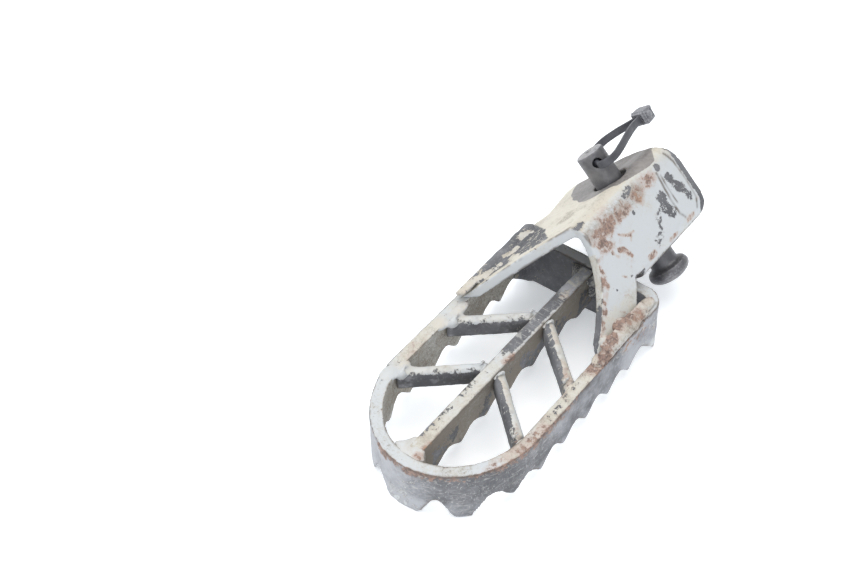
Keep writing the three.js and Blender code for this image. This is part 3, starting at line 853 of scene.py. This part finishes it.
# Chips down to the primer, the deepest of them towards the pivot end.
WEB_CHIPS = [
    (0.92, [(86.6, 12.4), (86.2, 14.8), (87.0, 17.8)], 2.3, 0.6),
    (0.92, [(93.4, 9.2), (94.2, 13.2)], 1.6, 0.7),
    (0.92, [(95.4, 14.4), (96.4, 18.6)], 1.5, 0.7),
    (1.05, [(91.8, 4.8)], 1.25, 0.4),
    (0.66, [(83.2, 14.8), (80.6, 17)], 1.1, 0.8),
    (0.66, [(80.4, 19), (76.4, 21)], 1.5, 0.8),
    (0.75, [(74.5, 9.6)], 0.9),
    (0.95, [(61.5, 24), (64.5, 24.5)], 0.9),
    (0.95, [(60.2, 22.4)], 0.6),
    (0.95, [(52.7, 22.1)], 0.45),
    (0.75, [(75.0, 4.2), (78, 3.2)], 1.2),
    (0.85, [(64.6, 24.2), (66.5, 24.6)], 0.6),
]
# Paint left on the outer face of the left arm, as (x, y) on the upper ear.
ARM_PAINT = [
    (0.70, [(46, 22), (48, 27)], 1.5),
    (0.65, [(38, 29), (42, 33)], 1.3),
    (0.55, [(56, 28), (58, 33)], 1.0),
]
# The front edge of the bare steel round the pin: x at each distance from the fold.
STEEL_EDGE = (
    [-3.5, -2.4, 0, 1.5, 4.5, 7.5, 11, 15, 19, 22, 26, 29, 32],
    [91, 88, 80.5, 77.2, 74.6, 72.6, 71.5, 72.0, 74.2, 76.6, 80.2, 84.5, 91],
)


def rubbed_bore(p, n):
    """Bright rings on the lower ear, where the pin's head and the lug turn against it."""
    ring = np.hypot(p[:, 0] - PIN_X, p[:, 1] - PIN_Y) + 1.6 * (clouds(p, 3, 56) - 0.5)
    return (1 - smoothstep(ring, 7.4, 9.0)) * smoothstep(abs(n[:, 2]), 0.6, 0.9) * (p[:, 2] < -15)


def bracket_wear(skin):
    p, n = skin.points, skin.normals
    x, y, z = p.T
    bend = skin.bend()
    edge = np.clip(bend, 0, 1)
    corner = skin.spread(np.clip(-bend, 0, 1), 6)
    drift = clouds(p, 12, 31)
    run = y + z  # down the upper ear above 0, down the web below 0
    facing_up = smoothstep(n[:, 2], 0.6, 0.9)
    ear = facing_up * (z > -5)
    web = smoothstep(-n[:, 1], 0.6, 0.9)
    outside = np.clip(ear + web + smoothstep(n[:, 2] - n[:, 1], 1.1, 1.35), 0, 1)
    inside = smoothstep(n[:, 1], 0.6, 0.9) + smoothstep(-n[:, 2], 0.6, 0.9)
    cut = smoothstep(abs(n[:, 0]), 0.35, 0.7) * (1 - outside)
    flat = np.stack([x, -z], 1)  # on the web
    top = np.stack([x, y], 1)  # on the upper ear

    w = {
        "loss": -0.22 + 0.50 * edge * smoothstep(clouds(p, 4, 41), 0.35, 0.62) + 0.14 * drift,
        "rust": -0.10 + 0.34 * edge * drift,
        "cream": 0.10 + 0.75 * ear + 0.45 * smoothstep(run, -5, 0) * outside + 0.2 * drift,
        # Darker in corners and on the inside faces of the fold: painted shade, as well as dirt.
        "dirt_and_shade": 0.04 + 0.30 * corner + 0.60 * inside,
        "scratch": 0.15 * inside,
        "line": 0.8 * smoothstep(edge, 0.25, 0.8) * smoothstep(clouds(p, 3, 43), 0.44, 0.62),
    }

    # Bare dark steel round the pin, out to the pivot end, and rings on the lower ear.
    inland = x - np.interp(run, *STEEL_EDGE) + 1.6 * (clouds(p, 3.5, 46) - 0.5)
    steel = smoothstep(inland, -0.8, 0.8) * smoothstep(run, -3.2, -2.2) * (z > -6)
    w["rust"] += 0.42 * ear * smoothstep(inland, -3.0, -0.6) * (1 - steel) * clouds(p, 4, 47)
    painted_corner = near(np.stack([x, run], 1), [(95.0, -3.6), (97.6, 0.0)], 2.2)
    w["bare"] = np.maximum(steel, rubbed_bore(p, n)) * (1 - painted_corner)
    end_from = np.interp(-z, [0, 3, 21, 24], [97.6, 99.1, 99.2, 97.4])
    w["loss"] += 1.3 * smoothstep(x - end_from, 0, 0.6)

    # The outer face of the left arm has lost most of its paint.
    arm_edge = np.interp(y, [8, 11, 20, 30, 36], [48.5, 51.5, 60, 66, 69])
    cut_strip = np.interp(y, [8, 21, 33], [52.0, 44.0, 30.0])
    arm = ear * smoothstep(arm_edge - x, -0.8, 1.2) * smoothstep(y, 9, 13)
    arm *= smoothstep(x - cut_strip, 0.2, 2.2)
    w["loss"] += arm * (0.95 + 0.30 * (clouds(p, 5, 33) - 0.5) - marks(top, ARM_PAINT))
    w["dirt_and_shade"] += arm * 0.10
    w["haze"] = 0.30 * arm * clouds(p, 4, 39) + 0.05 * web

    # The upper ear is stained and has small chips.
    w["rust"] += 0.26 * outside * near(top, [(62.5, 0.8), (65.5, 1.6)], 1.7)
    w["loss"] += 0.30 * ear * (1 - arm) * smoothstep(clouds(p, 2.6, 48), 0.60, 0.78)
    w["loss"] += 0.80 * near(p, [(55.8, 1.4, -0.6), (57.6, 1.6, -0.5)], 1.2)  # between the arms
    w["dirt_and_shade"] += ear * (0.16 + 0.35 * smoothstep(clouds(p, 7, 49), 0.50, 0.75))

    # Rust and a pink-brown stain run along the ridge above the web.
    ridge = web * near(flat, [(56, 7.2), (66, 6.8), (88, 6.2)], 2.1, 0.7)
    w["rust"] += ridge * (0.42 + 0.40 * (clouds(p, 4, 34) - 0.5)) + outside * marks(flat, [
        (0.14, [(56, 6.5), (66, 6.6)], 2.4, 0.6),
        (0.22, [(57, 4.2), (70, 4.2), (86, 4.0)], 2.2, 0.7),
    ])
    w["dirt_and_shade"] += 0.42 * outside * near(flat, [(56, 5.0), (66, 5.6), (80, 5.4)], 2.8, 0.7)

    # The web: rust spots and chips, and more rust along its cut edges.
    w["rust"] += web * marks(flat, WEB_RUST)
    w["loss"] += web * marks(flat, WEB_CHIPS)
    arm_side = near(flat, [(54, 13), (49.5, 18.5), (44, 23), (39, 27)], 1.9)
    w["rust"] += 0.95 * web * arm_side * (clouds(p, 1.6, 35) - 0.05)
    end_side = near(flat, [(98.7, 5), (99.0, 13), (98.6, 21)], 0.7)
    w["rust"] += 0.40 * web * end_side * clouds(p, 3, 42)
    arm_foot = near(p, [(50, 0, -16), (44, 0, -22), (38, 0, -27)], 3.0)
    w["rust"] += 0.25 * web * arm_foot * clouds(p, 4, 40)
    w["dirt_and_shade"] += 0.30 * web * near(flat, [(35, 28), (54, 27)], 3.5) * clouds(p, 4, 44)
    w["cream"] += 0.50 * web * near(flat, [(36, 27), (52, 29)], 4)

    # The rubbed edge of the right arm.
    inner_arm = cut * (z < -10) * (n[:, 0] < 0)
    w["cream"] += 0.5 * inner_arm
    w["loss"] += inner_arm * 0.80 * smoothstep(-z, 20, 23)
    w["dirt_and_shade"] += inner_arm * 0.25

    # The lug has rubbed and dirtied the inside, most of all on the lower ear, and the inside is darkened
    # further with painted shade between the ears.
    floor_side = facing_up * (z < -15)
    w["dirt_and_shade"] += 0.45 * floor_side
    w["loss"] += inside * 0.5 + 0.75 * floor_side * smoothstep(clouds(p, 6, 54), 0.40, 0.62)
    w["scratch"] += 0.6 * floor_side
    w["rust"] += 0.45 * (floor_side + 0.6 * inside) * smoothstep(clouds(p, 8, 55), 0.48, 0.75)

    # The seams are dirty.
    on_end = web * smoothstep(x, 86, 88)
    faint = 0.5 + 0.9 * smoothstep(clouds(p, 3, 38), 0.35, 0.65)
    for seam, width in zip(SEAMS, (0.34, 0.26, 0.32)):
        w["line"] = np.maximum(w["line"], on_end * faint * near(flat, seam, width, 0.9))
    return w


def mount_bracket():
    # The upper bore is worn oval, away from the way the pin leans.
    worn_radius = 5.1
    slot = turned([(0, -4.5), (worn_radius, -4.5), (worn_radius, 1), (0, 1)], 64)
    slot.transform(Matrix.Translation((PIN_X + 0.7, PIN_Y - 0.9, 0)))
    shape = without(cad_mesh(["mount_bracket"], BRACKET), slot)
    skin = Skin(worn_round(shape, grid=0.38, rounds=6))
    p, n = skin.points, skin.normals
    on_end = smoothstep(-n[:, 1], 0.6, 0.9) * smoothstep(p[:, 0], 86, 88)
    flat = np.stack([p[:, 0], -p[:, 2]], 1)
    sunk = 0.07 * on_end * sum(near(flat, seam, 0.40, 0.9) for seam in SEAMS)
    skin.push(0.5 * (clouds(p, 15, 36) - 0.5) + 0.14 * (clouds(p, 3.0, 37) - 0.5) - sunk)
    skin.paint(**bracket_wear(skin))
    piece(
        "mount_bracket", skin.mesh, BRACKET, "peg", PAINT, ["mount_bracket"]
    )


# ---- pin and tie ----------------------------------------------------------------------------------


def pin_profile(shaft=4.4, head=6.7, top=10.7, head_top=-31.4, head_depth=4.4):
    """(radius, z) from the middle of the domed head's underside up to the middle of the shaft's end."""
    bottom = head_top - head_depth
    dome = [
        (0, bottom + 0.25), (2.2, bottom + 0.12), (3.4, bottom), (4.6, bottom + 0.15),
        (5.6, bottom + 0.7), (6.4, bottom + 1.5), (head, bottom + 2.3), (6.62, bottom + 3.0),
    ]
    neck = [(6.2, head_top - 0.45), (5.4, head_top), (shaft + 0.5, head_top + 0.15)]
    sides = [(shaft, head_top + 0.8), (shaft, -22), (shaft - 0.05, -10), (shaft, -4), (shaft, top - 0.7)]
    end = [(shaft - 0.2, top - 0.2), (shaft - 0.6, top), (1.4, top), (1.0, top - 0.25), (0, top - 0.35)]
    return dome + neck + sides + end


def pivot_pin():
    hole_radius, reach = 1.5, 9
    hole = turned([(0, -reach), (hole_radius, -reach), (hole_radius, reach), (0, reach)], 48)
    across = Vector((0.6, 0.8, 0)).to_track_quat("Z", "Y").to_matrix().to_4x4()
    hole.transform(Matrix.Translation((0, 0, CROSS_HOLE_Z)) @ across)
    mesh = worn_round(without(turned(pin_profile()), hole), grid=0.22, rounds=2)
    mesh.transform(Matrix.Translation((PIN_X, PIN_Y, 0)))
    skin = Skin(mesh)
    p = skin.points
    skin.push(0.10 * (clouds(p, 3.5, 51) - 0.5) + 0.05 * (clouds(p, 1.0, 52) - 0.5))
    p = skin.points
    on_end = smoothstep(skin.normals[:, 2], 0.4, 0.8) * (p[:, 2] > 9)
    on_head = p[:, 2] < -30
    # The end face is painted light, standing for light falling on it, and the head gets painted highlights
    # along with scuffs.
    skin.paint(
        edge=0.10 + 0.45 * np.clip(skin.bend(2), 0, 1) + 0.55 * on_end + 0.34 * on_head,
        rust=0.10 + 0.35 * clouds(p, 5, 53) + 0.3 * on_end,
    )
    piece("pivot_pin", skin.mesh, BRACKET, "pin", STEEL, ["pivot_pin"])


# The strap's middle line, round the loop from inside the pin: (x, y, sideways).
STRAP_ROUTE = [
    (81.6, 9.6, 0), (79.2, 6.4, 0), (78.5, 4.7, -0.2), (79.8, 3.1, -0.4), (82.6, 2.2, -0.3), (86.5, 2.5, 0.1),
    (92, 3.7, 0.7), (98, 5.6, 0.8), (103, 7.4, 0.3), (106.4, 8.5, 0), (103.4, 10.1, 0.1), (98, 12.3, 0.7),
    (92, 13.4, 1.2), (88.2, 14.0, 0.9), (85.8, 14.0, 0.3), (84.2, 13.1, 0),
]


def closed_curve(route, steps):
    """Points and directions at equal distances along a smooth closed curve through the route."""
    knots = np.array(route, float)
    dense = []
    for k in range(len(knots)):
        p0, p1, p2, p3 = (knots[(k + j) % len(knots)] for j in (-1, 0, 1, 2))
        gaps = [np.linalg.norm(b - a) ** 0.5 for a, b in ((p0, p1), (p1, p2), (p2, p3))]
        t1, t2, t3 = np.cumsum(gaps)
        for t in np.linspace(t1, t2, 40, endpoint=False):
            a1 = (t1 - t) / t1 * p0 + t / t1 * p1
            a2 = (t2 - t) / (t2 - t1) * p1 + (t - t1) / (t2 - t1) * p2
            a3 = (t3 - t) / (t3 - t2) * p2 + (t - t2) / (t3 - t2) * p3
            b1 = (t2 - t) / t2 * a1 + t / t2 * a2
            b2 = (t3 - t) / (t3 - t1) * a2 + (t - t1) / (t3 - t1) * a3
            dense.append((t2 - t) / (t2 - t1) * b1 + (t - t1) / (t2 - t1) * b2)
    dense = np.array(dense + dense[:1])
    length = np.concatenate([[0], np.cumsum(np.linalg.norm(np.diff(dense, axis=0), axis=1))])
    at = np.linspace(0, length[-1], steps, endpoint=False)
    points = np.stack([np.interp(at, length, dense[:, k]) for k in range(dense.shape[1])], 1)
    along = np.roll(points, -1, 0) - np.roll(points, 1, 0)
    return points, along / np.linalg.norm(along, axis=1)[:, None], at


def strap():
    """The tie's strap as one closed band: rounded section, ribbed inside, its far run a little twisted."""
    half_width, half_thick, corner = 1.18, 0.54, 0.34
    rib_depth, rib_pitch, full_twist = 0.10, 1.1, math.radians(14)
    section = []
    for start, sx, sy in ((0, 1, 1), (90, -1, 1), (180, -1, -1), (270, 1, -1)):
        for a in (0, 30, 60, 90):
            turn = math.radians(start + a)
            section.append((
                sx * (half_thick - corner) + corner * math.cos(turn),
                sy * (half_width - corner) + corner * math.sin(turn),
            ))
    made = bmesh.new()
    rings = []
    for (x, y, lift), (tx, ty, _), s in zip(*closed_curve(STRAP_ROUTE, 420)):
        far = smoothstep(y, 9.6, 12.5) * smoothstep(x, 86, 90) * (1 - smoothstep(x, 98, 104))
        cos, sin = math.cos(full_twist * far), math.sin(full_twist * far)
        rib = rib_depth * (0.5 + 0.5 * math.sin(2 * math.pi * s / rib_pitch))
        # Inside the pin the strap is bunched up. It fills the hole and cuts a little into the wall.
        bunch = 1 - smoothstep(math.hypot(x - PIN_X, y - PIN_Y), 1.8, 3.4)
        ring = []
        for u, v in section:
            u, v = u * (1 + 1.5 * bunch), v * (1 + 0.2 * bunch)
            if u > 0 and abs(v) < half_width - corner + 1e-6 and not bunch:
                u -= rib
            u, v = u * cos - v * sin, u * sin + v * cos
            ring.append(made.verts.new((x - ty * u, y + tx * u, v + lift)))
        rings.append(ring)
    count = len(section)
    for ring, following in zip(rings, rings[1:] + rings[:1]):
        for k in range(count):
            j = (k + 1) % count
            made.faces.new((ring[k], ring[j], following[j], following[k]))
    bmesh.ops.recalc_face_normals(made, faces=made.faces)
    return mesh_from(made, "strap")


def cable_tie():
    head = worn_round(joined([
        tapered_block(104.3, 106.0, 6.4, 10.7, 2.0, 1.12),
        tapered_block(105.2, 109.3, 5.9, 11.1, 2.4, 0.90),
        tapered_block(108.0, 110.9, 7.8, 9.6, 1.2, 0.92),
        ball((109.2, 6.9, 1.4), (0.8, 0.7, 0.7), 2),
        ball((109.3, 10.2, -1.2), (0.9, 0.7, 0.8), 2),
        ball((107.0, 5.9, 0.0), (1.2, 0.6, 1.3), 2),
    ]), grid=0.17, rounds=6)
    tilt = Matrix.Rotation(math.radians(5), 4, "X")
    place = (
        BRACKET @ Matrix.Translation((PIN_X, PIN_Y, CROSS_HOLE_Z)) @ tilt
        @ Matrix.Translation((-PIN_X, -PIN_Y, 0))
    )
    skin = Skin(joined([strap(), head]))
    on_head = smoothstep(skin.points[:, 0], 103.6, 104.6)
    skin.paint(edge=0.05 + 0.45 * np.clip(skin.bend(1), 0, 1) * on_head + 0.62 * on_head)
    piece("cable_tie", skin.mesh, place, "tie", NYLON, ["cable_tie"])


# ---- build ----------------------------------------------------------------------------------------

tread_loop()
centre_rib()
for number, name in enumerate(n for n in sorted(frame["nodes"]) if n.startswith("brace_")):
    brace(name, 100 + 10 * number)
brace_welds()
end_welds()
arm_welds()
mount_bracket()
pivot_pin()
cable_tie()

# ---- floor, light, camera -------------------------------------------------------------------------

LOW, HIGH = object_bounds()
MIDDLE = (LOW + HIGH) / 2


def floor():
    shade = Shade("pale_floor", Roughness=0.8)
    cloudy = shade.noise(6, 3)
    colour = shade.mix(cloudy, (0.90, 0.91, 0.925), (0.93, 0.94, 0.95))
    shade.finish(colour, shade.level(cloudy, 0.7, 0.85), shade.noise(900, 2), 0.00002)
    shade.surface.inputs["Emission Color"].default_value = (0.93, 0.965, 1.0, 1)
    shade.surface.inputs["Emission Strength"].default_value = 0.38
    made = bmesh.new()
    bmesh.ops.create_grid(made, x_segments=8, y_segments=8, size=3)
    mesh = mesh_from(made, "floor")
    mesh.materials.append(shade.material)
    ground = in_scene("floor", mesh)
    ground.location = (MIDDLE.x, MIDDLE.y, LOW.z)
    ground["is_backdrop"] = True


def soft_light(name, place, size, power, colour):
    light = bpy.data.lights.new(name, "AREA")
    light.shape, light.size, light.energy, light.color = "DISK", size, power, colour
    lamp = in_scene(name, light)
    lamp.location = MIDDLE + Vector(place)
    lamp.rotation_mode = "QUATERNION"
    lamp.rotation_quaternion = (-Vector(place)).to_track_quat("-Z", "Y")


def studio():
    soft_light("overhead", (0.10, 0.15, 0.95), 1.1, 7.4, (1.0, 0.985, 0.96))
    soft_light("left", (-0.5, 0.7, 0.5), 0.6, 1.8, (0.97, 0.985, 1.0))
    soft_light("front", (-0.5, -0.6, 0.45), 0.7, 1.6, (0.98, 0.99, 1.0))
    world = bpy.data.worlds.new("studio")
    world.use_nodes = True
    background = world.node_tree.nodes["Background"]
    background.inputs["Color"].default_value = (0.95, 0.975, 1.0, 1)
    background.inputs["Strength"].default_value = 0.68
    bpy.context.scene.world = world
    bpy.context.scene.view_settings.view_transform = "Standard"


def camera():
    """Above the nose on the right side, looking down along the peg."""
    aim = TREAD @ Vector((27.46, 33.26, 0))
    forward = Vector((0.538107, 0.427562, -0.726383)).normalized()
    distance, roll = 0.46222, math.radians(1.478)
    data = bpy.data.cameras.new("camera")
    data.lens = 65.72
    data.clip_start = 0.01
    eye = in_scene("camera", data)
    eye.location = aim - distance * forward
    eye.rotation_mode = "QUATERNION"
    upright = forward.to_track_quat("-Z", "Y").to_matrix()
    eye.rotation_quaternion = (Matrix.Rotation(roll, 3, forward) @ upright).to_quaternion()
    bpy.context.scene.camera = eye


floor()
studio()
camera()
